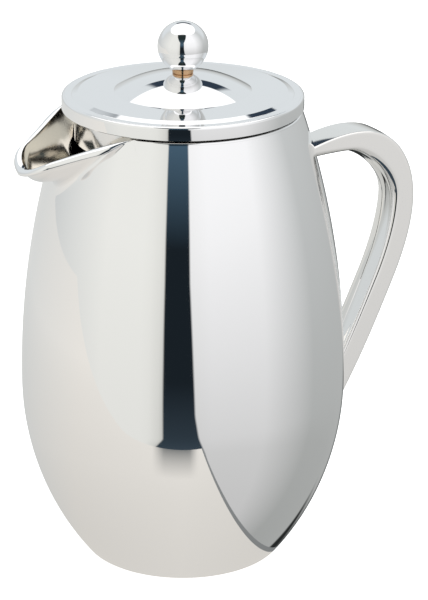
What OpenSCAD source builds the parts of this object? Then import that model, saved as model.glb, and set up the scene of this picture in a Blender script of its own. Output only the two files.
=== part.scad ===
// Double-walled stainless steel french press: an egg-shaped pot with a straight inner liner,
// a V spout, a hollow handle of two half shells, and a domed lid that carries the plunger.
// Units are millimetres. +Z is up, the origin is the middle of the foot, +X points to the handle.
// Stored with the lid on and the plunger pressed right down.

/* [Pot] */
// Height of the pot's rim above the foot
rim_h = 209; // [170:1:255]
// Largest diameter of the egg-shaped outer shell
belly_d = 147; // [122:1:180]
// Height of that largest diameter
belly_h = 81.6; // [68:0.1:98]
// How far the rim's edge lies inside the belly, seen from above
rim_in = 21.1; // [17:0.1:25]
// How far the foot lies inside the belly, seen from above
foot_in = 28.9; // [24:0.1:34]
// Thickness of the outer shell's sheet
shell_wall = 1; // [0.8:0.1:1.6]
// Radius between the foot and the side of the shell
foot_round = 4; // [2:0.5:6]
// Width of the flat ring between the base plate and that radius
foot_land = 4.6; // [3:0.1:8]
// Thickness of the base plate
base_t = 1; // [0.8:0.1:2]

/* [Liner] */
// Width of the rim, from the bore that the plunger runs in to the shell
rim_land = 3.4; // [2.5:0.1:8]
// Thickness of the liner's sheet
liner_wall = 0.8; // [0.6:0.1:1.4]
// Height of the liner's inner floor
floor_h = 14; // [11:1:24]
// Radius between the liner's floor and its side
floor_round = 10; // [4:1:16]
// Thickness of the rim that closes the gap between the two walls
rim_t = 1; // [0.8:0.1:2]

/* [Spout] */
// How far the tip of the spout stands out from the rim
spout_out = 26.1; // [21:0.1:32]
// Depth of the lip's tip below the rim
tip_drop = 18.5; // [15:0.5:22]
// Half the width between the two front corners of the lip
corner_w = 15.9; // [13:0.1:20]
// Depth of those corners below the rim
corner_drop = 12; // [9:0.5:14]
// Half the width of the mouth, as a part of the rim's radius
mouth_part = 0.69; // [0.6:0.01:0.75]
// Depth of the spout's underside below the rim
keel_drop = 25; // [21:0.5:30]
// Thickness of the spout's sheet
spout_wall = 1.2; // [0.8:0.1:2]

/* [Handle] */
// Full width of the handle
grip_w = 17; // [14:0.5:24]
// Thickness of the handle's two sheet shells
grip_wall = 1.2; // [0.8:0.1:2]
// How far the handle's outer face stands out from the belly
grip_out = 40.4; // [34:0.1:50]
// Depth of the handle's top below the rim
grip_drop = 20; // [16:0.5:28]
// Thickness of the grip, from its inner to its outer face
grip_t = 10.9; // [9:0.1:14]
// Squareness of the handle's section, where 2 is an ellipse
grip_square = 4.6; // [3:0.1:8]

/* [Lid] */
// How far the lid's edge stands out past the rim
lid_out = 1; // [0.5:0.1:2]
// Height of the lid's rounded top edge above the rim
lid_h = 6.5; // [5:0.1:9]
// Thickness of the lid's sheet
lid_wall = 0.8; // [0.6:0.1:1.2]
// Gap between the pot's rim and the lid's skirt
skirt_gap = 0.5; // [0.3:0.1:1]
// Width of the flat band round the lid's edge
band_w = 4.6; // [2:0.1:6]
// Width of the slope inside that band
slope_w = 2.6; // [1:0.1:4]
// Height of that slope
slope_h = 0.9; // [0.3:0.1:2]
// Rise of the lid's ring from the slope to the dome
ring_rise = 0.5; // [0:0.1:3]
// Radius at which the dome starts
dome_r = 30.3; // [24:0.1:33]
// Height of the dome
dome_h = 8.2; // [4:0.1:9]
// Depth of the collar below the rim
collar_d = 13; // [8:0.5:20]
// Radial gap between the collar and the liner
collar_gap = 1; // [0.6:0.1:2]
// Number of pour slots in the collar
slots = 9; // [4:1:12]
// Width of a pour slot
slot_w = 3; // [2:0.5:5]

/* [Plunger] */
// Diameter of the plunger rod
rod_d = 5; // [4:0.5:8]
// Running clearance round the rod and round the bush
run_gap = 0.05; // [0.02:0.01:0.1]
// Diameter of the ball knob
knob_d = 22.4; // [18:0.2:30]
// Height of the neck between the lid and the ball
neck_h = 1.2; // [0.8:0.1:4]
// Height of the filter's underside above the liner's floor, plunger down
grounds_h = 17; // [10:1:30]
// Radial gap between the filter and the liner
filter_gap = 0.4; // [0.3:0.1:1]
// Height of the filter mesh's turned-up edge
mesh_edge = 4.6; // [3:0.1:8]
// Diameter of the coiled edge spring's wire ring
spring_d = 3.4; // [2.4:0.2:5]
// Number of holes in each ring of the spreader plate
spreader_holes = 16; // [8:1:24]
// Number of arms of the cross plate
cross_arms = 6; // [4:1:10]

/* [Hidden] */
$fn = 128;
far = 400;

// Colours, polished steel seen in a pale room
steel = [0.86, 0.87, 0.88];
steel_shade = [0.74, 0.75, 0.76];
mesh_grey = [0.62, 0.62, 0.60];
brass = [0.80, 0.58, 0.36];
seal = [0.90, 0.89, 0.86];

belly_r = belly_d / 2;
rim_r = belly_r - rim_in;
bore_r = rim_r - rim_land;
liner_r = bore_r + liner_wall;
// Each arc of the shell's outline is upright at the belly and ends at the rim or at the foot
upper_arc_r = (pow(rim_h - belly_h, 2) + pow(rim_in, 2)) / (2 * rim_in);
lower_arc_r = (pow(belly_h, 2) + pow(foot_in, 2)) / (2 * foot_in);
// Centre of the foot's radius, which meets the lower arc without a crease at foot_top
foot_r = belly_r - lower_arc_r + sqrt(pow(lower_arc_r - foot_round, 2) - pow(belly_h - foot_round, 2));
foot_top = foot_round * (1 - (belly_h - foot_round) / (lower_arc_r - foot_round));
base_r = foot_r - foot_land;

// Lid heights and radii
lid_r = rim_r + lid_out;
skirt_z = rim_h + skirt_gap;
lid_top = rim_h + lid_h;
band_r = lid_r - band_w;
ring_r = band_r - slope_w;
ring_z = lid_top + slope_h;
crease_z = ring_z + ring_rise;
apex_z = crease_z + dome_h;
dome_arc = (pow(dome_r, 2) + pow(dome_h, 2)) / (2 * dome_h);
pan_t = 0.8;
flange_r = lid_r - lid_wall;
collar_r = bore_r - collar_gap;
collar_low = rim_h - collar_d;
slot_h = collar_d * 0.55;
pan_z = rim_h - pan_t;

// Bush through the lid
rod_r = rod_d / 2;
bush_bore = rod_r + run_gap;
bush_wall = 1.65;
bush_r = bush_bore + bush_wall;
bush_head_r = bush_r + 0.5;
bush_head_z = apex_z + 0.1;
washer_t = 0.6;
nut_h = 3.6;
nut_r = bush_r + 3.4;
washer_z = pan_z - run_gap - washer_t;
bush_nut_z = washer_z - nut_h;

// Knob, which rests on the bush
knob_r = knob_d / 2;
seat_r = bush_head_r;
seat_z = bush_head_z + neck_h;
knob_z = seat_z + sqrt(pow(knob_r, 2) - pow(seat_r, 2));
insert_bore = rod_r + run_gap;
insert_r = insert_bore + 1.4;
insert_top = knob_z + 2;
insert_cap = 1.5;
rod_top = insert_top - insert_cap - run_gap;

// Filter pack, from the clamp nut up
filter_z = floor_h + grounds_h;
clamp_h = 4.5;
rod_cap = 1;
plate_t = 0.8;
mesh_t = 0.4;
mesh_r = bore_r - filter_gap;
cross_r = mesh_r - 3;
mesh_z = filter_z + plate_t;
spreader_z = mesh_z + mesh_t;
spreader_r = mesh_r - mesh_t - 1.2;
spring_r = spring_d / 2;
spring_ring_r = mesh_r - mesh_t - spring_r;
spring_z = spreader_z + plate_t + spring_r;
hub_z = spreader_z + plate_t;
hub_r = rod_r + 2.6;
hub_flange_r = rod_r + 8;
hub_h = 8;
hole_step = (spring_ring_r - spring_r - hub_flange_r) / 3;
jam_h = 3.2;
hex_r = rod_r + 3.4;

// Outline radius of the egg-shaped shell at a height
function shell_r(z) = z < belly_h
    ? belly_r - lower_arc_r + sqrt(pow(lower_arc_r, 2) - pow(z - belly_h, 2))
    : belly_r - upper_arc_r + sqrt(pow(upper_arc_r, 2) - pow(z - belly_h, 2));

// Points on a cubic curve through four control points
function curve_point(p, t) = pow(1 - t, 3) * p[0] + 3 * pow(1 - t, 2) * t * p[1]
    + 3 * (1 - t) * pow(t, 2) * p[2] + pow(t, 3) * p[3];
function curve_chain(pieces, n) = [
    for (k = [0:len(pieces) - 1]) for (i = [(k == 0 ? 0 : 1):n]) curve_point(pieces[k], i / n)
];
function signed_power(v, p) = sign(v) * pow(abs(v), p);

// Solid egg inside the shell's outline, moved inwards by inset
module egg(inset = 0, low = 0, high = rim_h) {
    rotate_extrude() difference() {
        union() {
            intersection() {
                translate([belly_r - lower_arc_r, belly_h]) circle(r = lower_arc_r - inset, $fn = 360);
                translate([0, low]) square([far, belly_h - low]);
            }
            intersection() {
                translate([belly_r - upper_arc_r, belly_h]) circle(r = upper_arc_r - inset, $fn = 720);
                translate([0, belly_h]) square([far, high - belly_h]);
            }
        }
        translate([-far, low - 1]) square([far, far]);
    }
}

// Flat ring or tube about the pot's axis
module ring(r_out, r_in, z, h) {
    translate([0, 0, z]) difference() {
        cylinder(r = r_out, h = h);
        if (r_in > 0) translate([0, 0, -1]) cylinder(r = r_in, h = h + 2);
    }
}

// Hexagonal nut about the pot's axis
// The hole starts at hole_z above the nut's underside
module hex_nut(r, bore, z, h, hole_z = -1) {
    corner_trim = 0.96;
    translate([0, 0, z]) difference() {
        intersection() {
            cylinder(r = r, h = h, $fn = 6);
            cylinder(r = r * corner_trim, h = h);
        }
        translate([0, 0, hole_z]) cylinder(r = bore, h = h + 2);
    }
}

// ---- Spout, lofted from U-shaped sections that run from the mouth to the tip ----
spout_steps = 22;
spout_turns = 18;
mouth_w = rim_r * mouth_part;
mouth_x = 1.5 - sqrt(pow(bore_r, 2) - pow(mouth_w, 2));
tip_x = -(rim_r + spout_out);
corner_x = tip_x + 7.5;
corner_z = rim_h - corner_drop;
keel_z = rim_h - keel_drop;
lip_curve = [[mouth_x, mouth_w, rim_h + 1.5], [mouth_x - 10, mouth_w - 3, rim_h - 1.5],
    [corner_x + 15, corner_w + 5.6, corner_z + 5], [corner_x, corner_w, corner_z]];
keel_curve = [[mouth_x - 7, 0, keel_z + 0.5], [corner_x + 9, 0, keel_z - 0.5],
    [corner_x - 5, 0, keel_z - 0.5], [tip_x, 0, rim_h - tip_drop]];

// A point of the spout's skin: s runs to the tip, v from one lip through the keel to the other
function spout_point(s, v, wall) = let (
    lip = curve_point(lip_curve, s), keel = curve_point(keel_curve, s),
    a = abs(v), across = sin(90 * a), up = 1 - pow(cos(90 * a), 1.35)
) [
    keel[0] + (lip[0] - keel[0]) * up + wall * s * (1 - a),
    sign(v) * max(lip[1] - wall, 1) * across,
    keel[2] + wall * (1 - a) + (lip[2] - keel[2] - wall * (1 - a)) * up
];
function spout_row(s, wall) = [for (j = [0:spout_turns]) spout_point(s, 2 * j / spout_turns - 1, wall)];

// Faces between rings of n points, closed at both ends by quads across each ring's two halves
function ring_sides(rows, n) = [
    for (i = [0:rows - 2]) for (j = [0:n - 1]) let (a = i * n + j, b = i * n + (j + 1) % n)
        each [[a, b, a + n], [b, b + n, a + n]]
];

// A skin with thickness: each row holds an outer edge and the matching inner edge
module skin(outer_rows, inner_rows) {
    rows = len(outer_rows);
    m = len(outer_rows[0]);
    n = 2 * m;
    points = [for (i = [0:rows - 1]) each concat(outer_rows[i],
        [for (j = [m - 1:-1:0]) inner_rows[i][j]])];
    last = (rows - 1) * n;
    caps = [for (j = [0:m - 2]) each [
        [j, n - 2 - j, j + 1], [j, n - 1 - j, n - 2 - j],
        [last + j + 1, last + n - 2 - j, last + j], [last + n - 2 - j, last + n - 1 - j, last + j]
    ]];
    polyhedron(points, concat(ring_sides(rows, n), caps), convexity = 6);
}

// Everything inside the spout's outer skin, up past the rim
module spout_block() {
    rows = spout_steps + 1;
    n = spout_turns + 3;
    points = [for (i = [0:spout_steps]) let (s = i / spout_steps, edge = spout_row(s, 0), lip = edge[spout_turns])
        each concat(edge, [[lip[0], lip[1], far], [lip[0], -lip[1], far]])];
    last = (rows - 1) * n;
    ends = [for (j = [1:n - 2]) each [[0, j + 1, j], [last, last + j, last + j + 1]]];
    polyhedron(points, concat(ring_sides(rows, n), ends), convexity = 6);
}

// ---- Handle: an outer and an inner outline in the plane y = 0, swept as one section ----
grip_steps = 12;
grip_turns = 12;
grip_x = belly_r + grip_out;
grip_in = grip_x - grip_t;
grip_top = rim_h - grip_drop;
// Ends of the outlines, which lie inside the shell so that it can cut them
function grip_end(drop, depth) = [shell_r(grip_top - drop) - depth, grip_top - drop];
// A point that lies back from the handle's outer face and below its top
function grip_at(back, drop) = [grip_x - back, grip_top - drop];
function grip_in_at(back, drop) = [grip_in - back, grip_top - drop];
grip_outer = curve_chain([
    [grip_end(5.6, 2.1), grip_at(41.9, 0.6), grip_at(29.9, -1.7), grip_at(19.9, 1.4)],
    [grip_at(19.9, 1.4), grip_at(8.4, 5), grip_at(0, 18), grip_at(0, 35)],
    [grip_at(0, 35), grip_at(0, 49), grip_at(5.4, 64), grip_at(10.4, 75.5)],
    [grip_at(10.4, 75.5), grip_at(20.9, 100), grip_at(30.9, 122), grip_end(146, 0.6)]
], grip_steps);
grip_inner = curve_chain([
    [grip_end(10.8, 6), grip_at(51.9, 10), grip_at(43.9, 9.2), grip_at(35.9, 9)],
    [grip_at(35.9, 9), grip_at(25.4, 9), grip_in_at(0, 22), grip_in_at(0, 34.5)],
    [grip_in_at(0, 34.5), grip_in_at(0, 46), grip_in_at(3.6, 58.5), grip_in_at(8.3, 69.9)],
    [grip_in_at(8.3, 69.9), grip_in_at(14.7, 85), grip_in_at(24, 106), grip_end(131, 5.3)]
], grip_steps);

// A point of the handle's section: i picks the station, side is +1 or -1, inset moves it inwards
function grip_point(i, j, side, inset) = let (
    a = grip_inner[i], b = grip_outer[i], mid = (a + b) / 2, half = norm(b - a) / 2, along = (b - a) / norm(b - a),
    turn = 180 * j / grip_turns,
    c = signed_power(cos(turn), 2 / grip_square) * (half - inset),
    y = signed_power(sin(turn), 2 / grip_square) * (grip_w / 2 - inset)
) [mid[0] + along[0] * c, side * y, mid[1] + along[1] * c];

module handle_half(side) {
    stations = len(grip_outer) - 1;
    order = side > 0 ? [0:grip_turns] : [grip_turns:-1:0];
    difference() {
        skin([for (i = [0:stations]) [for (j = order) grip_point(i, j, side, 0)]],
            [for (i = [0:stations]) [for (j = order) grip_point(i, j, side, grip_wall)]]);
        egg();
    }
}

// ---- Pot ----
module outer_shell() {
    color(steel) difference() {
        union() {
            egg(low = foot_top, high = rim_h - rim_t);
            rotate_extrude() {
                square([foot_r, foot_round]);
                intersection() {
                    translate([foot_r, foot_round]) circle(r = foot_round);
                    square([far, foot_round]);
                }
            }
        }
        egg(inset = shell_wall, low = shell_wall, high = rim_h);
        translate([0, 0, -1]) cylinder(r = base_r, h = shell_wall + 3);
        spout_block();
    }
}

module base_plate() {
    color(steel_shade) ring(base_r, 0, 0, base_t);
}

module inner_liner() {
    color(steel_shade) difference() {
        union() {
            rotate_extrude() difference() {
                union() {
                    translate([0, floor_h - liner_wall])
                        square([liner_r - floor_round - liner_wall, rim_h - floor_h + liner_wall]);
                    translate([0, floor_h + floor_round]) square([liner_r, rim_h - floor_h - floor_round]);
                    intersection() {
                        translate([bore_r - floor_round, floor_h + floor_round])
                            circle(r = floor_round + liner_wall);
                        translate([0, floor_h - liner_wall]) square([far, floor_round + liner_wall]);
                    }
                    translate([0, rim_h - rim_t]) square([rim_r, rim_t]);
                }
                translate([-far, 0]) square([far, far]);
            }
        }
        rotate_extrude() difference() {
            union() {
                translate([0, floor_h]) square([bore_r - floor_round, rim_h]);
                translate([0, floor_h + floor_round]) square([bore_r, rim_h]);
                translate([bore_r - floor_round, floor_h + floor_round]) circle(r = floor_round);
            }
            translate([-far, 0]) square([far, far]);
        }
        spout_block();
    }
}

module spout() {
    color(steel) difference() {
        skin([for (i = [0:spout_steps]) spout_row(i / spout_steps, 0)],
            [for (i = [0:spout_steps]) spout_row(i / spout_steps, spout_wall)]);
        translate([0, 0, keel_z - far / 2]) cylinder(r = bore_r, h = far);
        translate([-far / 2, -far / 2, rim_h]) cube(far);
    }
}

module handle_left_shell() {
    color(steel) handle_half(1);
}

module handle_right_shell() {
    color(steel) handle_half(-1);
}

// ---- Lid ----
// Outline of the lid's top face, moved down by drop along the axis and in by inset at the skirt
module lid_outline(inset, drop) {
    edge_r = 1.2;
    square([lid_r - inset, lid_top - edge_r - drop]);
    square([lid_r - edge_r - inset, lid_top - drop]);
    translate([lid_r - edge_r - inset, lid_top - edge_r - drop]) circle(r = edge_r);
    polygon([[0, lid_top - 1 - drop], [band_r, lid_top - 1 - drop], [band_r, lid_top - drop],
        [ring_r, ring_z - drop], [dome_r, crease_z - drop], [0, crease_z - drop]]);
    intersection() {
        translate([0, apex_z - dome_arc - drop]) circle(r = dome_arc, $fn = 240);
        translate([0, crease_z - drop]) square([dome_r, dome_h + 1]);
    }
}

module lid_cover() {
    color(steel) difference() {
        rotate_extrude() intersection() {
            lid_outline(0, 0);
            translate([0, skirt_z]) square(far);
        }
        rotate_extrude() intersection() {
            lid_outline(lid_wall, lid_wall);
            translate([0, skirt_z - 1]) square(far);
        }
        cylinder(r = bush_r + run_gap, h = far);
    }
}

module lid_pan() {
    color(steel_shade) ring(collar_r - liner_wall, bush_r + run_gap, pan_z, pan_t);
}

module lid_collar() {
    slot_step = 14;
    flange_t = skirt_gap + 0.3;
    color(steel_shade) difference() {
        union() {
            ring(collar_r, collar_r - liner_wall, collar_low, rim_h - collar_low);
            ring(flange_r, collar_r - liner_wall, rim_h, flange_t);
        }
        for (k = [0:slots - 1]) rotate([0, 0, (k - (slots - 1) / 2) * slot_step])
            translate([collar_r - 3, -slot_w / 2, collar_low + 2]) cube([6, slot_w, slot_h]);
    }
}

module lid_bush() {
    color(brass) difference() {
        union() {
            translate([0, 0, bush_nut_z]) cylinder(r = bush_r, h = bush_head_z - bush_nut_z);
            translate([0, 0, bush_head_z]) cylinder(r = bush_head_r, h = seat_z - bush_head_z);
        }
        translate([0, 0, -1]) cylinder(r = bush_bore, h = far);
    }
}

module bush_washer() {
    color(seal) ring(nut_r + 1, bush_r, washer_z, washer_t);
}

module bush_nut() {
    color(steel_shade) hex_nut(nut_r, bush_r, bush_nut_z, nut_h);
}

// ---- Plunger ----
module plunger_rod() {
    rod_low = filter_z - clamp_h + rod_cap;
    color(steel) translate([0, 0, rod_low]) cylinder(r = rod_r, h = rod_top - rod_low);
}

module knob_ball() {
    color(steel) difference() {
        translate([0, 0, knob_z]) sphere(r = knob_r, $fn = 96);
        translate([0, 0, seat_z - far]) cylinder(r = knob_r, h = far);
        translate([0, 0, seat_z - 1]) cylinder(r = insert_r, h = insert_top - seat_z + 1);
    }
}

module knob_insert() {
    color(brass) difference() {
        translate([0, 0, seat_z]) cylinder(r = insert_r, h = insert_top - seat_z);
        translate([0, 0, seat_z - 1]) cylinder(r = insert_bore, h = insert_top - insert_cap - seat_z + 1);
    }
}

module filter_hub() {
    color(steel_shade) difference() {
        union() {
            translate([0, 0, hub_z]) cylinder(r = hub_flange_r, h = plate_t * 2);
            translate([0, 0, hub_z]) cylinder(r = hub_r, h = hub_h);
        }
        translate([0, 0, hub_z - 1]) cylinder(r = rod_r, h = hub_h + 2);
    }
}

module jam_nut() {
    color(steel_shade) hex_nut(hex_r, rod_r, hub_z + hub_h, jam_h);
}

module spreader_plate() {
    color(steel_shade) difference() {
        ring(spreader_r, rod_r, spreader_z, plate_t);
        for (row = [0:2]) for (k = [0:spreader_holes - 1])
            rotate([0, 0, (k + row / 2) * 360 / spreader_holes])
                translate([hub_flange_r + hole_step * (row + 0.5), 0, spreader_z - 1])
                    cylinder(r = hole_step * (0.2 + row * 0.04), h = plate_t + 2);
    }
}

module edge_spring() {
    color(steel) rotate_extrude() translate([spring_ring_r, spring_z]) circle(r = spring_r, $fn = 48);
}

module filter_mesh() {
    color(mesh_grey) union() {
        ring(mesh_r, rod_r, mesh_z, mesh_t);
        ring(mesh_r, mesh_r - mesh_t, mesh_z + mesh_t, mesh_edge);
    }
}

module cross_plate() {
    arm_w = 7;
    rim_w = 4;
    color(steel_shade) union() {
        ring(cross_r, cross_r - rim_w, filter_z, plate_t);
        difference() {
            union() {
                ring(hub_flange_r + 1, 0, filter_z, plate_t);
                for (k = [0:cross_arms - 1]) rotate([0, 0, k * 360 / cross_arms])
                    translate([0, -arm_w / 2, filter_z]) cube([cross_r - rim_w / 2, arm_w, plate_t]);
            }
            translate([0, 0, filter_z - 1]) cylinder(r = rod_r, h = 3);
        }
    }
}

module clamp_nut() {
    color(steel) hex_nut(hex_r + 1, rod_r, filter_z - clamp_h, clamp_h, rod_cap);
}

outer_shell();
inner_liner();
base_plate();
spout();
handle_left_shell();
handle_right_shell();
lid_cover();
lid_pan();
lid_collar();
lid_bush();
bush_washer();
bush_nut();
plunger_rod();
knob_ball();
knob_insert();
filter_hub();
jam_nut();
spreader_plate();
edge_spring();
filter_mesh();
cross_plate();
clamp_nut();
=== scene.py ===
"""Looks of a double-walled, mirror-polished french press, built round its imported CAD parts.

Everything is in metres in the parts' own frame: +Z up, +X towards the handle, -X towards the spout.
"""

import math

import bmesh
import bpy
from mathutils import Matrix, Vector


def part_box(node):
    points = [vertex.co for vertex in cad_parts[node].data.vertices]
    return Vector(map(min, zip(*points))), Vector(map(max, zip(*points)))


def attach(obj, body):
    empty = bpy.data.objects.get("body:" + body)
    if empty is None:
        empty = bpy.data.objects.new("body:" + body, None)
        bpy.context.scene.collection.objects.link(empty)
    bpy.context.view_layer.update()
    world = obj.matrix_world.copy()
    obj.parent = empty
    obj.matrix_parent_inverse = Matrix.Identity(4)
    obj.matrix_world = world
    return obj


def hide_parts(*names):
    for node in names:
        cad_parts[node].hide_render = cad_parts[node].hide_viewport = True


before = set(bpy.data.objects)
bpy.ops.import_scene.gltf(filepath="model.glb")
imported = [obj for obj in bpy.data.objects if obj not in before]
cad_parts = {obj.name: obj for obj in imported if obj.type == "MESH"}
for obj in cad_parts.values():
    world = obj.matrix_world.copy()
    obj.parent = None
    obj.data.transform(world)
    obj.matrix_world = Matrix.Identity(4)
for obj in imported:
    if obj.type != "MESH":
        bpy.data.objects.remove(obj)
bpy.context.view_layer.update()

MM = 0.001

# ---------------------------------------------------------------- sizes taken from the frame
rim_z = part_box("inner_liner")[1].z
rim_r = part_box("inner_liner")[1].y
rim_land = 3.4 * MM
bore_r = rim_r - rim_land
liner_wall = 0.8 * MM
belly_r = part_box("outer_shell")[1].y
liner_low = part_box("inner_liner")[0].z
lid_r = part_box("lid_cover")[1].x
skirt_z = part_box("lid_cover")[0].z
apex_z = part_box("lid_cover")[1].z
grip_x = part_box("handle_left_shell")[1].x
grip_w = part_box("handle_left_shell")[1].y
bush_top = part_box("lid_bush")[1].z
knob_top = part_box("knob_ball")[1].z
knob_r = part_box("knob_ball")[1].x
insert_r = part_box("knob_insert")[1].x

# Outline of the egg-shaped pot: two arcs that are upright at the belly
belly_z = 81.6 * MM
foot_in = 28.9 * MM
foot_round = 4 * MM
foot_land = 4.6 * MM
upper_arc = ((rim_z - belly_z) ** 2 + (belly_r - rim_r) ** 2) / (2 * (belly_r - rim_r))
lower_arc = (belly_z ** 2 + foot_in ** 2) / (2 * foot_in)


# ---------------------------------------------------------------- curves and meshes
def shell_r(z):
    """Radius of the pot's outside at a height."""
    arc = upper_arc if z > belly_z else lower_arc
    return belly_r - arc + math.sqrt(arc ** 2 - (z - belly_z) ** 2)


def shell_lean(z):
    """Direction in which the pot's outline climbs at a height, as (out, up)."""
    arc = upper_arc if z > belly_z else lower_arc
    out = -(z - belly_z) / math.sqrt(arc ** 2 - (z - belly_z) ** 2)
    size = math.hypot(out, 1)
    return out / size, 1 / size


def cubic(p, t):
    """A point on a cubic curve with four control points of any dimension."""
    w = ((1 - t) ** 3, 3 * (1 - t) ** 2 * t, 3 * (1 - t) * t ** 2, t ** 3)
    return tuple(sum(w[i] * p[i][k] for i in range(4)) for k in range(len(p[0])))


def cubic_chain(pieces, steps):
    """Points along several cubic curves that join end to end."""
    points = [cubic(pieces[0], 0)]
    for piece in pieces:
        points += [cubic(piece, i / steps) for i in range(1, steps + 1)]
    return points


def arc_points(centre_r, centre_z, radius, start, end, steps=12):
    """Points of an arc in the (r, z) half-plane, with its angles in degrees."""
    turns = [math.radians(start + (end - start) * i / steps) for i in range(steps + 1)]
    return [(centre_r + radius * math.cos(a), centre_z + radius * math.sin(a)) for a in turns]


def line_points(a, b, steps):
    """Points from a to b, both included."""
    return [tuple(a[k] + (b[k] - a[k]) * i / steps for k in range(len(a))) for i in range(steps + 1)]


def finish_mesh(name, bm, material, body, nodes=(), sharp=32):
    """Turns a bmesh into a piece of the press, smooth except at edges sharper than an angle."""
    bmesh.ops.remove_doubles(bm, verts=bm.verts, dist=1e-7)
    bmesh.ops.recalc_face_normals(bm, faces=bm.faces)
    mesh = bpy.data.meshes.new(name)
    bm.to_mesh(mesh)
    bm.free()
    mesh.shade_smooth()
    mesh.set_sharp_from_angle(angle=math.radians(sharp))
    mesh.materials.append(material)
    piece = bpy.data.objects.new(name, mesh)
    bpy.context.scene.collection.objects.link(piece)
    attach(piece, body)
    if nodes:
        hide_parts(*nodes)
    return piece


def add_grid(bm, rows, wrap_rows=False, wrap_points=False):
    """Adds a sheet of quads through rows of points."""
    made = [[bm.verts.new(p) for p in row] for row in rows]
    row_pairs = zip(made, made[1:] + made[:1]) if wrap_rows else zip(made, made[1:])
    for a, b in row_pairs:
        last = len(a) if wrap_points else len(a) - 1
        for j in range(last):
            k = (j + 1) % len(a)
            corners = list(dict.fromkeys((a[j], a[k], b[k], b[j])))
            bm.faces.new(corners)
    return made


def add_lathe(bm, profile, closed=True, segments=256, at=(0, 0), turn=0):
    """Adds a profile of (r, z) points spun about an upright axis."""
    rows = []
    for i in range(segments):
        a = 2 * math.pi * i / segments + turn
        rows.append([(at[0] + r * math.cos(a), at[1] + r * math.sin(a), z) for r, z in profile])
    add_grid(bm, rows, wrap_rows=True, wrap_points=closed)


def lathe(name, profile, material, body, nodes=(), closed=True, segments=256, sharp=32):
    """A piece turned about the press's axis."""
    bm = bmesh.new()
    add_lathe(bm, profile, closed, segments)
    return finish_mesh(name, bm, material, body, nodes, sharp)


# ---------------------------------------------------------------- materials
class Nodes:
    """Short calls for building a node tree."""

    def __init__(self, tree):
        self.tree = tree

    def add(self, kind, **settings):
        node = self.tree.nodes.new(kind)
        for key, value in settings.items():
            setattr(node, key, value)
        return node

    def link(self, a, b):
        self.tree.links.new(a, b)

    def math(self, operation, *values):
        node = self.add("ShaderNodeMath", operation=operation)
        for socket, value in zip(node.inputs, values):
            if isinstance(value, (int, float)):
                socket.default_value = value
            else:
                self.link(value, socket)
        return node.outputs[0]

    def ramp(self, value, low, high, stops):
        """Colours that follow a value: stops are (value, colour), and a colour may be one grey number."""
        spread = self.add("ShaderNodeMapRange")
        self.link(value, spread.inputs[0])
        spread.inputs[1].default_value = low
        spread.inputs[2].default_value = high
        ramp = self.add("ShaderNodeValToRGB")
        self.link(spread.outputs[0], ramp.inputs[0])
        while len(ramp.color_ramp.elements) > 1:
            ramp.color_ramp.elements.remove(ramp.color_ramp.elements[-1])
        for i, (place, colour) in enumerate(stops):
            place = (place - low) / (high - low)
            element = ramp.color_ramp.elements[0] if i == 0 else ramp.color_ramp.elements.new(place)
            element.position = place
            colour = (colour,) * 3 if isinstance(colour, (int, float)) else colour
            element.color = (*colour, 1)
        return ramp.outputs[0]

    def bump(self, height, distance, normal=None):
        """A surface raised by a height, on top of another bump's normal where one is given."""
        node = self.add("ShaderNodeBump")
        node.inputs["Strength"].default_value = 1
        node.inputs["Distance"].default_value = distance
        self.link(height, node.inputs["Height"])
        if normal:
            self.link(normal, node.inputs["Normal"])
        return node.outputs["Normal"]

    def multiply(self, a, b):
        """Two colours multiplied; a may be a fixed colour."""
        node = self.add("ShaderNodeMix", data_type="RGBA", blend_type="MULTIPLY")
        node.inputs[0].default_value = 1
        if isinstance(a, tuple):
            node.inputs[6].default_value = (*a, 1)
        else:
            self.link(a, node.inputs[6])
        self.link(b, node.inputs[7])
        return node.outputs[2]

    def mix(self, factor, a, b):
        """Colour a where the factor is 0 and colour b where it is 1."""
        node = self.add("ShaderNodeMix", data_type="RGBA")
        for socket, value in ((node.inputs[0], factor), (node.inputs[6], a), (node.inputs[7], b)):
            if isinstance(value, tuple):
                socket.default_value = (*value, 1)
            else:
                self.link(value, socket)
        return node.outputs[2]


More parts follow.
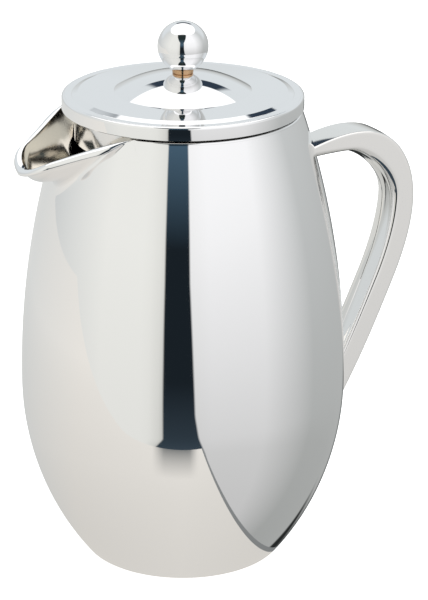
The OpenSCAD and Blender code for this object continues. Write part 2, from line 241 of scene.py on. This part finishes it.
def metal(name, colour, rough, rough_spread=0.0, waves=0.0, wave_size=0.03, grain=0.0,
          grain_stretch=(1, 1, 1), tint=None):
    """A metal with drifting roughness, slow waves in its polish and a fine grain."""
    material = bpy.data.materials.new(name)
    material.use_nodes = True
    tree = Nodes(material.node_tree)
    shader = material.node_tree.nodes["Principled BSDF"]
    shader.inputs["Base Color"].default_value = (*colour, 1)
    shader.inputs["Metallic"].default_value = 1
    shader.inputs["Roughness"].default_value = rough
    place = tree.add("ShaderNodeTexCoord").outputs["Object"]
    if rough_spread:
        cloud = tree.add("ShaderNodeTexNoise")
        tree.link(place, cloud.inputs["Vector"])
        cloud.inputs["Scale"].default_value = 1 / wave_size
        cloud.inputs["Detail"].default_value = 5
        drift = [(0.3, max(rough - rough_spread, 0)), (0.7, rough + rough_spread)]
        tree.link(tree.ramp(cloud.outputs["Fac"], 0, 1, drift), shader.inputs["Roughness"])
        if tint:
            tree.link(tree.ramp(cloud.outputs["Fac"], 0, 1, [(0.35, colour), (0.65, tint)]),
                      shader.inputs["Base Color"])
    normal = None
    if waves:
        swell = tree.add("ShaderNodeTexNoise")
        tree.link(place, swell.inputs["Vector"])
        swell.inputs["Scale"].default_value = 1 / wave_size
        swell.inputs["Detail"].default_value = 1
        normal = tree.bump(swell.outputs["Fac"], waves)
    if grain:
        stretch = tree.add("ShaderNodeMapping")
        stretch.inputs["Scale"].default_value = grain_stretch
        tree.link(place, stretch.inputs["Vector"])
        lines = tree.add("ShaderNodeTexNoise")
        tree.link(stretch.outputs[0], lines.inputs["Vector"])
        lines.inputs["Scale"].default_value = 400
        lines.inputs["Detail"].default_value = 3
        normal = tree.bump(lines.outputs["Fac"], grain, normal)
    if normal:
        tree.link(normal, shader.inputs["Normal"])
    return material


mirror = metal("mirror_steel", (0.93, 0.93, 0.935), 0.028, 0.012, waves=0.02 * MM, wave_size=0.03)
liner_steel = metal("liner_steel", (0.84, 0.845, 0.85), 0.10, 0.03, grain=0.004 * MM,
                    grain_stretch=(1, 1, 14))
# painted shade and warm reflection: a darker, warmer copy of the pot's steel
throat_steel_painted_shade = metal("throat_steel_painted_shade", (0.83, 0.77, 0.67), 0.15, 0.04, waves=0.02 * MM, wave_size=0.02)
# painted shade and warm reflection: a slightly darker, warmer copy of the mirror steel for the handle
grip_steel_painted_shade = metal("grip_steel_painted_shade", (0.90, 0.888, 0.865), 0.05, 0.02, waves=0.03 * MM, wave_size=0.02)
satin = metal("satin_steel", (0.78, 0.785, 0.79), 0.26, 0.05, grain=0.006 * MM, grain_stretch=(1, 1, 6))
bright = metal("bright_steel", (0.88, 0.885, 0.89), 0.10, 0.03, grain=0.002 * MM)
brass = metal("turned_brass", (0.66, 0.43, 0.25), 0.16, 0.05, grain=0.004 * MM, grain_stretch=(1, 1, 14),
              tint=(0.52, 0.32, 0.18))


def rubber(name, colour):
    """A soft seal with a faint mottle and a matt skin."""
    material = bpy.data.materials.new(name)
    material.use_nodes = True
    tree = Nodes(material.node_tree)
    shader = material.node_tree.nodes["Principled BSDF"]
    shader.inputs["Subsurface Weight"].default_value = 0.2
    shader.inputs["Subsurface Radius"].default_value = (0.002, 0.002, 0.002)
    noise = tree.add("ShaderNodeTexNoise")
    tree.link(tree.add("ShaderNodeTexCoord").outputs["Object"], noise.inputs["Vector"])
    noise.inputs["Scale"].default_value = 900
    dark = tuple(c * 0.93 for c in colour)
    mottle = noise.outputs["Fac"]
    tree.link(tree.ramp(mottle, 0, 1, [(0.3, dark), (0.7, colour)]), shader.inputs["Base Color"])
    tree.link(tree.ramp(mottle, 0, 1, [(0.3, 0.4), (0.7, 0.55)]), shader.inputs["Roughness"])
    tree.link(tree.bump(mottle, 0.01 * MM), shader.inputs["Normal"])
    return material


silicone = rubber("white_silicone", (0.88, 0.87, 0.84))

# ---------------------------------------------------------------- pot: shell, spout and lip in one skin
# Control points in millimetres: the lip's crest from the edge of the mouth to the corner and on to the
# tip, the line under the spout, and the rolled lip's section in units of its roll
lip_side = [(-39.2, 34.9, 208.6), (-47.5, 28.0, 206.6), (-59.0, 19.6, 200.4), (-67.4, 15.2, 197.2)]
lip_front = [(-67.4, 15.2, 197.2), (-72.4, 12.9, 195.2), (-74.6, 7.2, 191.6), (-75.0, 0.0, 190.8)]
keel = [(-49.0, 185.8), (-64.0, 183.2), (-74.6, 181.8), (-75.0, 190.8)]
roll_section = [[(0.75, -2.1), (1.2, -2.4), (2.3, -2.5), (2.4, -1.7)],
                [(2.4, -1.7), (2.35, -0.7), (1.1, 0.25), (0, 0)]]
tuck_out, tuck_down = 0.75, 2.1
lip_path = [Vector(p) * MM for p in cubic_chain([lip_side], 64)]
lip_path += [Vector(p) * MM for p in cubic_chain([lip_front], 40)[1:]]
lip_turn = math.atan2(lip_path[0].y, -lip_path[0].x)
section_power = 0.675
spout_wall = 1.2 * MM
rim_top = rim_z - 0.4 * MM
rim_roll = 1.2 * MM
side_steps = 120
hollow_steps = 24
spout_steps = 40
roll_steps = 12
inside_steps = 42
plain_columns = 170


def along(curve, x):
    """The other coordinates of a curve where it passes x."""
    low, high = 0, 1
    for _ in range(40):
        t = (low + high) / 2
        if cubic(curve, t)[0] > x:
            low = t
        else:
            high = t
    return cubic(curve, t)[1:]


def spout_z(r, turn):
    """Height of the spout's underside at a radius and a turn from the spout's middle."""
    x = -r * math.cos(turn) / MM
    y = abs(r * math.sin(turn)) / MM
    half, lip = along(lip_side if x > lip_side[-1][0] else lip_front, x)
    low, = along(keel, x)
    across = min(y / max(half, 0.01), 1)
    return (low + (lip - low) * (1 - (1 - across ** 2) ** section_power)) * MM


def shell_z(r):
    """Height at which the upper part of the pot has a radius."""
    return belly_z + math.sqrt(upper_arc ** 2 - (r - belly_r + upper_arc) ** 2)


def smooth(t):
    """Eases from 0 to 1."""
    t = min(max(t, 0), 1)
    return t * t * (3 - 2 * t)


def foot_and_side(top_z):
    """Points (r, z) of the pot's outside from its foot up to a height."""
    foot_r = belly_r - lower_arc + math.sqrt((lower_arc - foot_round) ** 2 - (belly_z - foot_round) ** 2)
    join = math.degrees(math.asin((belly_z - foot_round) / (lower_arc - foot_round)))
    chamfer = 0.4 * MM
    points = [(foot_r - foot_land, chamfer), (foot_r - foot_land + chamfer, 0)]
    points += arc_points(foot_r, foot_round, foot_round, -90, -join, 10)
    low = points[-1][1]
    heights = [low + (top_z - low) * i / side_steps for i in range(1, side_steps + 1)]
    return points + [(shell_r(z), z) for z in heights]


def rim_column():
    """The pot's skin where it ends in its plain rim, rolled over to the bore."""
    start = rim_z - 6 * MM
    points = foot_and_side(start)
    steps = hollow_steps + spout_steps
    side = rim_top - rim_roll - start
    heights = [start + side * i / steps for i in range(1, steps + 1)]
    points += [(shell_r(z), z) for z in heights]
    points += arc_points(points[-1][0] - rim_roll, rim_top - rim_roll, rim_roll, 0, 90, roll_steps)[1:]
    return points + line_points((points[-1][0], rim_top), (bore_r, rim_top), inside_steps)[1:]


def spout_column(turn, lip_r, lip_z):
    """The pot's skin where it runs out into the spout, rolls over the lip and comes back to the bore."""
    share = math.cos(math.pi / 2 * min(abs(turn) / lip_turn, 1))
    low, high = bore_r, lip_r
    for _ in range(40):
        meet_r = (low + high) / 2
        if spout_z(meet_r, turn) > shell_z(meet_r):
            high = meet_r
        else:
            low = meet_r
    room = (0.8 + 6.5 * share ** 2) * MM
    leave_z = min(shell_z(meet_r) - room, rim_top - rim_roll)
    span = max(lip_r - meet_r, 0.05 * MM)
    join_r = meet_r + room * span / (room + span)
    points = foot_and_side(leave_z)
    # the hollow between the pot's side and the spout's underside
    start = points[-1]
    lean = shell_lean(leave_z)
    end = (join_r, spout_z(join_r, turn))
    step = span * 0.01
    slope = (step, spout_z(join_r + step, turn) - end[1])
    size = math.hypot(*slope)
    reach = 0.5 * math.hypot(end[0] - start[0], end[1] - start[1])
    hollow = [start, (start[0] + lean[0] * reach, start[1] + lean[1] * reach),
              (end[0] - slope[0] / size * reach, end[1] - slope[1] / size * reach), end]
    points += [cubic(hollow, i / hollow_steps) for i in range(1, hollow_steps + 1)]
    # the spout's outside, pulled under the rolled lip
    opens = smooth((lip_turn - abs(turn)) / math.radians(14))
    roll = opens * (1.8 - 0.45 * share ** 4) * MM + 0.02 * MM
    for i in range(1, spout_steps + 1):
        u = i / spout_steps
        r = join_r + (lip_r - join_r) * (1 - (1 - u) ** 2)
        tuck = u ** 6
        points.append((r + tuck_out * roll * tuck, spout_z(r, turn) - tuck_down * roll * tuck))
    over = cubic_chain(roll_section, roll_steps // 2)
    points += [(lip_r + r * roll, lip_z + z * roll) for r, z in over[1:]]
    # the inside of the spout
    base = spout_z(bore_r, turn)
    across = min(abs(math.sin(turn)) / math.sin(lip_turn), 1)
    cut_z = keel[0][1] * MM + spout_wall
    cut_z += (rim_top - cut_z) * (1 - (1 - across ** 2) ** section_power)
    for i in range(1, inside_steps + 1):
        u = 1 - i / inside_steps
        r = bore_r + (lip_r - bore_r) * (1 - (1 - u) ** 2)
        shape = (spout_z(r, turn) - base) / max(lip_z - base, 0.01 * MM)
        points.append((r, cut_z + (lip_z - cut_z) * shape))
    return points, cut_z


def pot_columns():
    """Columns of points round the pot, and the height of the liner's edge in each."""
    lips = [(math.atan2(p.y, -p.x), math.hypot(p.x, p.y), p.z) for p in lip_path]
    left = [(-turn, r, z) for turn, r, z in lips[:-1]]
    columns = []
    cuts = []
    for turn, lip_r, lip_z in left + lips[::-1]:
        points, cut_z = spout_column(turn, lip_r, lip_z)
        columns.append((turn, points))
        cuts.append((turn, cut_z))
    plain = rim_column()
    for i in range(1, plain_columns):
        turn = lip_turn + (2 * math.pi - 2 * lip_turn) * i / plain_columns
        columns.append((turn, plain))
        cuts.append((turn, rim_z))
    rows = [[(-r * math.cos(turn), r * math.sin(turn), z) for r, z in points] for turn, points in columns]
    return rows, cuts


rows, cuts = pot_columns()
bm = bmesh.new()
add_grid(bm, [row[:-inside_steps] for row in rows], wrap_rows=True)
finish_mesh("pot_shell", bm, mirror, "pot", ("outer_shell", "spout"), sharp=50)
# the rim's flat land and the spout's inside wear the darker, warmer steel of painted shade and warm
# reflection
bm = bmesh.new()
add_grid(bm, [row[-inside_steps - 1:] for row in rows], wrap_rows=True)
finish_mesh("pot_throat", bm, throat_steel_painted_shade, "pot", sharp=50)

# liner: a straight tube with a round-cornered floor, cut away where the spout opens into it
floor_z = liner_low + liner_wall
centre_r = 0.2 * MM
floor_round = 10 * MM
bm = bmesh.new()
rows = []
for turn, cut_z in cuts:
    corner = (bore_r - floor_round, floor_z + floor_round)
    inside = line_points((centre_r, floor_z), (bore_r - floor_round, floor_z), 12)
    inside += arc_points(*corner, floor_round, -90, 0, 12)[1:]
    inside += line_points((bore_r, corner[1]), (bore_r, cut_z), 60)[1:]
    outer_r = bore_r + liner_wall
    outside = line_points((outer_r, cut_z - liner_wall / 2), (outer_r, corner[1]), 30)
    outside += arc_points(*corner, floor_round + liner_wall, 0, -90, 8)[1:]
    outside += [(centre_r, liner_low)]
    rows.append([(-r * math.cos(turn), r * math.sin(turn), z) for r, z in inside + outside])
add_grid(bm, rows, wrap_rows=True, wrap_points=True)
finish_mesh("pot_liner", bm, liner_steel, "pot", ("inner_liner",))

# ---------------------------------------------------------------- handle: two half shells with a seam
grip_t = 10.9 * MM
grip_in = grip_x - grip_t
grip_top = rim_z - 20 * MM


def grip_end(drop, depth):
    """A point inside the pot's wall, some millimetres under the handle's top and deep in the wall."""
    z = grip_top - drop * MM
    return shell_r(z) - depth * MM, z


def grip_at(back, drop):
    """A point some millimetres back from the handle's outermost face and under its top."""
    return grip_x - back * MM, grip_top - drop * MM


def grip_in_at(back, drop):
    """The same, measured from the inner face."""
    return grip_in - back * MM, grip_top - drop * MM


grip_outer = cubic_chain([
    [grip_end(5.6, 2.1), grip_at(41.9, 0.6), grip_at(29.9, -1.7), grip_at(19.9, 1.4)],
    [grip_at(19.9, 1.4), grip_at(8.4, 5), grip_at(0, 18), grip_at(0, 35)],
    [grip_at(0, 35), grip_at(0, 49), grip_at(5.4, 64), grip_at(10.4, 75.5)],
    [grip_at(10.4, 75.5), grip_at(20.9, 100), grip_at(30.9, 122), grip_end(146, 0.6)],
], 40)
grip_inner = cubic_chain([
    [grip_end(10.8, 6), grip_at(51.9, 10), grip_at(43.9, 9.2), grip_at(35.9, 9)],
    [grip_at(35.9, 9), grip_at(25.4, 9), grip_in_at(0, 22), grip_in_at(0, 34.5)],
    [grip_in_at(0, 34.5), grip_in_at(0, 46), grip_in_at(3.6, 58.5), grip_in_at(8.3, 69.9)],
    [grip_in_at(8.3, 69.9), grip_in_at(14.7, 85), grip_in_at(24, 106), grip_end(131, 5.3)],
], 40)


def grip_section(half, soft):
    """Half of the handle's section as (out, across): inner face, side, outer face.

    soft is 1 at the upper bend, where the inner edge is rounder.
    """
    crown = 1.3 * MM
    seam = 0.3 * MM
    inner_round = (2.4 + 2.4 * soft) * MM
    outer_round = 1.0 * MM
    points = [(-half - crown + seam * 1.3, 0), (-half - crown, seam)]
    flat = grip_w - inner_round
    for i in range(1, 11):
        y = seam + (flat - seam) * i / 10
        points.append((-half - crown * (1 - (y / flat) ** 2), y))
    points += [(-half + inner_round + r, flat + z)
               for r, z in arc_points(0, 0, inner_round, 180, 90, 14)[1:]]
    points += line_points((-half + inner_round, grip_w), (half - outer_round, grip_w), 8)[1:]
    points += [(half - outer_round + r, grip_w - outer_round + z)
               for r, z in arc_points(0, 0, outer_round, 90, 0, 8)[1:]]
    flat = grip_w - outer_round
    bulge = 0.3 * MM
    shares = [1 - i / 8 for i in range(1, 9)]
    return points + [(half + bulge * (1 - share ** 2), flat * share) for share in shares]


def handle_half(name, side, node):
    """One pressed half of the handle, swept between its inner and outer lines."""
    bm = bmesh.new()
    rows = []
    last = len(grip_inner) - 1
    for i, (a, b) in enumerate(zip(grip_inner, grip_outer)):
        inner = Vector(a)
        outer = Vector(b)
        middle = (inner + outer) / 2
        half = (outer - inner).length / 2
        outward = (outer - inner).normalized()
        section = grip_section(half, 1 - smooth(i / last * 2 - 0.45))
        rows.append([(middle.x + outward.x * out, side * across, middle.y + outward.y * out)
                     for out, across in section])
    made = add_grid(bm, rows, wrap_points=True)
    bm.faces.new(made[0])
    bm.faces.new(made[-1])
    finish_mesh(name, bm, grip_steel_painted_shade, "pot", (node,), sharp=40)


handle_half("handle_left", 1, "handle_left_shell")
handle_half("handle_right", -1, "handle_right_shell")

# ---------------------------------------------------------------- lid
lid_top = rim_z + 6.5 * MM
band_r = lid_r - 4.6 * MM
ring_r = band_r - 2.6 * MM
ring_z = lid_top + 0.9 * MM
dome_r = 30.3 * MM
crease_z = ring_z + 0.5 * MM
dome_h = apex_z - crease_z
dome_arc = (dome_r ** 2 + dome_h ** 2) / (2 * dome_h)
sheet = 0.8 * MM
edge_round = 1.2 * MM
hole_r = 4.25 * MM


def dome_points(drop):
    """The dome from the hole in its middle to its crease, moved down by drop."""
    points = []
    for i in range(49):
        r = hole_r + (dome_r - hole_r) * i / 48
        points.append((r, apex_z - dome_arc + math.sqrt(dome_arc ** 2 - r ** 2) - drop))
    return points


face = dome_points(0) + line_points((dome_r, crease_z), (ring_r, ring_z), 10)[1:]
face += line_points((ring_r, ring_z), (band_r, lid_top + 0.1 * MM), 6)[1:]
groove = 0.12 * MM
face += [(band_r + groove, lid_top), (lid_r - edge_round - 2 * groove, lid_top),
         (lid_r - edge_round - groove, lid_top - groove), (lid_r - edge_round, lid_top)]
face += arc_points(lid_r - edge_round, lid_top - edge_round, edge_round, 82, 0, 10)
skirt = [(lid_r, skirt_z + 0.2 * MM), (lid_r - 0.2 * MM, skirt_z), (lid_r - sheet, skirt_z)]
inner_cut = 1.7 * MM
under = [(lid_r - sheet, lid_top - inner_cut), (lid_r - inner_cut, lid_top - sheet)]
under += [(band_r, lid_top - sheet), (ring_r, ring_z - sheet)] + dome_points(sheet)[::-1]
lathe("lid_top", face + skirt + under, mirror, "lid", ("lid_cover",), segments=384,
      sharp=14)

# collar with its pour slots, on the side of the handle
collar_r = bore_r - 1 * MM
collar_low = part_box("lid_collar")[0].z
slots = 9
slot_step = math.radians(14)
slot_half = 1.5 * MM / collar_r
slot_low = collar_low + 2 * MM
slot_high = slot_low + 7.1 * MM
bm = bmesh.new()
heights = [collar_low, collar_low + 0.3 * MM, slot_low, slot_high, rim_z - 0.8 * MM, rim_z - 0.1 * MM]
turns = []
for k in range(slots):
    middle = (k - (slots - 1) / 2) * slot_step
    turns += [middle + slot_half * share for share in (-1, -0.6, 0.6, 1)]
first, final = turns[0], turns[-1]
turns += [final + (2 * math.pi - final + first) * i / 120 for i in range(1, 120)]
# each slot takes four turns, and its hole is the row of faces between the third and fourth heights
skins = {}
for inset in (0, sheet):
    skins[inset] = [[bm.verts.new(((collar_r - inset) * math.cos(a), (collar_r - inset) * math.sin(a), z))
                     for z in heights] for a in turns]
count = len(turns)
for i in range(count):
    k = (i + 1) % count
    slot = i < 4 * slots and i % 4 != 3
    for j in range(len(heights) - 1):
        if slot and j == 2:
            continue
        for ring in skins.values():
            bm.faces.new((ring[i][j], ring[k][j], ring[k][j + 1], ring[i][j + 1]))
    outer, inner = skins[0], skins[sheet]
    bm.faces.new((outer[i][0], outer[k][0], inner[k][0], inner[i][0]))
    if slot:
        for j in (2, 3):
            bm.faces.new((outer[i][j], outer[k][j], inner[k][j], inner[i][j]))
    if i < 4 * slots and i % 4 in (0, 3):
        bm.faces.new((outer[i][2], outer[i][3], inner[i][3], inner[i][2]))
flange_r = rim_r - 2.6 * MM
flange_top = rim_z + 0.7 * MM
add_lathe(bm, [(collar_r - sheet, rim_top), (flange_r, rim_top + 0.02 * MM), (flange_r, flange_top),
               (collar_r - sheet, flange_top)], segments=192)
finish_mesh("collar", bm, liner_steel, "lid", ("lid_collar",))

# ---------------------------------------------------------------- knob
knob_z = knob_top - knob_r
seat = math.degrees(math.asin((knob_z - bush_top) / knob_r))
ball = arc_points(0, knob_z, knob_r, 90, -seat, 72)
pole_r = 0.02 * MM
ball[0] = (pole_r, ball[0][1])
ball += [(insert_r, bush_top), (insert_r, knob_z + 2 * MM), (pole_r, knob_z + 2 * MM)]
lathe("knob", ball, mirror, "knob", ("knob_ball",), segments=192)

# ---------------------------------------------------------------- plain finishes on the CAD pieces
finishes = {
    "base_plate": satin, "lid_pan": satin, "lid_bush": brass, "bush_washer": silicone,
    "bush_nut": bright, "plunger_rod": bright, "knob_insert": brass, "filter_hub": satin, "jam_nut": bright,
    "spreader_plate": satin, "edge_spring": bright, "filter_mesh": satin, "cross_plate": satin,
    "clamp_nut": bright,
}
for node, material in finishes.items():
    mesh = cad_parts[node].data
    mesh.materials.clear()
    mesh.materials.append(material)

# ---------------------------------------------------------------- camera
azimuth = math.radians(-25)
elevation = math.radians(21.32)
aim = Vector((0, 0, 0.1))
distance = 1.2
towards = Vector((math.sin(azimuth) * math.cos(elevation), -math.cos(azimuth) * math.cos(elevation),
                  math.sin(elevation)))
lens = bpy.data.cameras.new("camera")
lens.sensor_fit = "VERTICAL"
lens.sensor_height = 24
lens.lens = 105.48
lens.shift_x = 0.0519
lens.shift_y = 0.0627
camera = bpy.data.objects.new("camera", lens)
camera.location = aim + towards * distance
camera.rotation_euler = (-towards).to_track_quat("-Z", "Y").to_euler()
bpy.context.scene.collection.objects.link(camera)
bpy.context.scene.camera = camera

# ---------------------------------------------------------------- floor and studio
def camera_directions(tree, x, y):
    """Node values of a place or direction: towards the camera, to its right, and the turn in degrees."""
    front = tree.math("ADD", tree.math("MULTIPLY", x, math.sin(azimuth)),
                      tree.math("MULTIPLY", y, -math.cos(azimuth)))
    right = tree.math("ADD", tree.math("MULTIPLY", x, math.cos(azimuth)),
                      tree.math("MULTIPLY", y, math.sin(azimuth)))
    turn = tree.math("MULTIPLY", tree.math("ARCTAN2", right, front), math.degrees(1))
    return front, right, turn


def paint_card_light_and_shade(tree, shader, colour):
    """Paints light and shade into a mirrored card's glow by its place round the press, its distance and the
    dark gap by the camera.
    """
    split = tree.add("ShaderNodeSeparateXYZ")
    tree.link(tree.add("ShaderNodeTexCoord").outputs["Object"], split.inputs[0])
    front, right, turn = camera_directions(tree, split.outputs[0], split.outputs[1])
    # painted light and shade: darker and cooler behind the press, brightest in front of it
    shade = tree.ramp(turn, -180, 180, [(-140, (0.84, 0.88, 0.92)), (-70, 1), (0, 1.08), (60, 1.02),
                                        (180, (0.84, 0.88, 0.92))])
    far = tree.math("SQRT", tree.math("ADD", tree.math("MULTIPLY", front, front),
                                      tree.math("MULTIPLY", right, right)))
    # painted shade: the glow is dimmer close to the press and brighter far from it
    reach = tree.ramp(far, 0, 0.8, [(0.05, 0.9), (0.15, 1), (0.5, 1.15)])
    # painted shade: a dark band along the card's front edge, across the gap by the camera
    edge = tree.math("MULTIPLY", tree.ramp(front, 0, 0.25, [(0.14, 0), (0.213, 0.75)]),
                     tree.ramp(turn, -180, 180, [(-18, 0), (-11, 1), (4, 1), (9, 0)]))
    shade = tree.mix(edge, shade, (0.06, 0.08, 0.1))
    tree.link(tree.multiply(colour, shade), shader.inputs["Emission Color"])
    tree.link(reach, shader.inputs["Emission Strength"])


def card(name, across, towards_camera, colour, seen):
    """A flat part of the studio floor, given in the camera's own directions.

    The camera sees it where seen is True; otherwise only the press's mirror does, and it glows with painted
    light and shade instead of being lit.
    """
    bm = bmesh.new()
    corners = []
    for right, front in ((across[0], towards_camera[0]), (across[1], towards_camera[0]),
                         (across[1], towards_camera[1]), (across[0], towards_camera[1])):
        x = right * math.cos(azimuth) + front * math.sin(azimuth)
        y = right * math.sin(azimuth) - front * math.cos(azimuth)
        corners.append(bm.verts.new((x, y, 0)))
    bm.faces.new(corners)
    mesh = bpy.data.meshes.new(name)
    bm.to_mesh(mesh)
    bm.free()
    material = bpy.data.materials.new(name)
    material.use_nodes = True
    shader = material.node_tree.nodes["Principled BSDF"]
    shader.inputs["Base Color"].default_value = (0.8, 0.8, 0.8, 1) if seen else (0, 0, 0, 1)
    shader.inputs["Specular IOR Level"].default_value = 0
    shader.inputs["Roughness"].default_value = 1
    shader.inputs["Emission Color"].default_value = (*colour, 1)
    shader.inputs["Emission Strength"].default_value = 1
    # cards only the mirror sees glow with painted light and shade instead of being lit
    if not seen:
        paint_card_light_and_shade(Nodes(material.node_tree), shader, colour)
    mesh.materials.append(material)
    piece = bpy.data.objects.new(name, mesh)
    bpy.context.scene.collection.objects.link(piece)
    piece.visible_glossy = not seen
    piece.visible_camera = seen
    piece.visible_diffuse = seen
    piece.visible_shadow = False


# The white paper is what the camera sees. The press mirrors a table top that glows with painted light and
# shade, and a dark strip of painted shadow along the edge of a card beside it.
floor_reach = 100
table_reach = 1.5
table_right = 0.042
table_front = 0.215
edge_shadow_width = 0.003
card("floor", (-floor_reach, floor_reach), (-floor_reach, floor_reach), (0.75, 0.75, 0.75), True)
card("table", (-table_reach, table_right), (-table_reach, table_front), (0.74, 0.715, 0.67), False)
# a dark strip of painted shadow along the card's edge
card("card_edge_shadow", (table_right, table_right + edge_shadow_width), (-table_reach, table_front),
     (0.24, 0.25, 0.25), False)


left_card = (0.88, 0.88, 0.84)
left_end = (0.8, 0.8, 0.76)
right_end = (0.97, 0.97, 0.97)
right_card = (1.05, 1.05, 1.06)
back_wall = (0.63, 0.65, 0.65)


def studio():
    """A soft white room as seen from the press: shaded walls, a softbox overhead and two dark gaps."""
    world = bpy.data.worlds.new("studio")
    bpy.context.scene.world = world
    world.use_nodes = True
    world.node_tree.nodes.clear()
    tree = Nodes(world.node_tree)
    split = tree.add("ShaderNodeSeparateXYZ")
    tree.link(tree.add("ShaderNodeTexCoord").outputs["Generated"], split.inputs[0])
    x, y, z = split.outputs
    turn = camera_directions(tree, x, y)[2]
    height = tree.math("MULTIPLY", tree.math("ARCSINE", z), math.degrees(1))
    # a warm card on the left, a brighter and cooler one on the right, and a grey wall behind
    walls = tree.ramp(turn, -180, 180, [
        (-130, back_wall), (-60, left_card), (-30, left_card), (-10, left_end), (0, right_end),
        (20, right_card), (60, right_card), (105, back_wall)])
    fade = tree.ramp(height, -90, 90, [(-60, 0.8), (5, 1)])
    light = tree.multiply(walls, fade)
    # the gap between the cards, where the camera stands, flares at its top and foot; its edges are in
    # hundreds of degrees
    left_edge = tree.ramp(height, -90, 90, [(-40, 0.28), (-30, 0.24), (-24, 0.14), (0, 0.13), (28, 0.135),
                                            (60, 0.42)])
    right_edge = tree.ramp(height, -90, 90, [(-40, 0.22), (-30, 0.16), (-20, 0.085), (0, 0.052), (28, 0.05),
                                             (60, 0.26)])
    from_left = tree.math("ADD", turn, tree.math("MULTIPLY", left_edge, 100))
    to_right = tree.math("SUBTRACT", tree.math("MULTIPLY", right_edge, 100), turn)
    inside = tree.math("MINIMUM", from_left, to_right)
    below = tree.math("MULTIPLY", tree.math("SUBTRACT", 66, height), 0.4)
    inside = tree.math("MINIMUM", inside, below)
    gap = tree.ramp(inside, -1, 1, [(-0.7, 0), (0.7, 1)])
    shade = tree.math("MULTIPLY", tree.ramp(from_left, -12, 0, [(-10, 0), (-3, 0.4), (0, 1)]),
                      tree.ramp(height, -90, 90, [(-30, 0.42), (-12, 0.25), (10, 0.08), (30, 0)]))
    light = tree.mix(shade, light, (0.2, 0.2, 0.18))
    gap_colour = tree.ramp(height, -90, 90, [(-30, (0.04, 0.06, 0.08)), (-15, (0.01, 0.015, 0.02)),
                                             (5, (0.01, 0.015, 0.02)), (20, (0.06, 0.11, 0.16)),
                                             (45, (0.02, 0.03, 0.03))])
    light = tree.mix(gap, light, gap_colour)
    # far side of the room: a pale backdrop with a dark gap over it, dark low down where the press's
    # outline mirrors it
    round_back = tree.math("ABSOLUTE", turn)
    backdrop = tree.mix(tree.ramp(height, 0, 90, [(5, 0), (14, 1)]), light, (0.74, 0.78, 0.80))
    light = tree.mix(tree.ramp(round_back, 0, 180, [(110, 0), (128, 1)]), light, backdrop)
    slit = tree.math("MULTIPLY", tree.ramp(height, 0, 90, [(31, 0), (32, 1), (41, 1), (42, 0)]),
                     tree.ramp(turn, -180, 180, [(-166, 1), (-163, 0), (158, 0), (161, 1)]))
    light = tree.mix(slit, light, (0.03, 0.045, 0.07))
    rim_dark = tree.math("MULTIPLY", tree.ramp(height, -90, 90, [(-60, 0), (-50, 1), (-8, 1), (4, 0)]),
                         tree.ramp(turn, -180, 180, [(-180, 0.9), (-175, 0.6), (-168, 0), (160, 0),
                                                     (170, 1)]))
    light = tree.mix(rim_dark, light, (0.03, 0.035, 0.035))
    foot_dark = tree.math("MULTIPLY", tree.ramp(height, -90, 90, [(-58, 0), (-54, 1), (-36, 1), (-32, 0)]),
                          tree.ramp(round_back, 0, 180, [(149, 0), (153, 1)]))
    light = tree.mix(foot_dark, light, (0.02, 0.022, 0.022))
    # softbox overhead, whose near edge is higher than its far one
    edge = tree.ramp(round_back, 0, 180, [(0, 0.69), (40, 0.62), (90, 0.5), (140, 0.42)])
    above = tree.math("SUBTRACT", height, tree.math("MULTIPLY", edge, 100))
    over = tree.ramp(above, -1, 1, [(-0.5, 0), (0.5, 1)])
    light = tree.mix(over, light, (1.25, 1.25, 1.25))
    background = tree.add("ShaderNodeBackground")
    tree.link(light, background.inputs[0])
    output = tree.add("ShaderNodeOutputWorld")
    tree.link(background.outputs[0], output.inputs[0])


studio()
bpy.context.scene.view_settings.view_transform = "Standard"
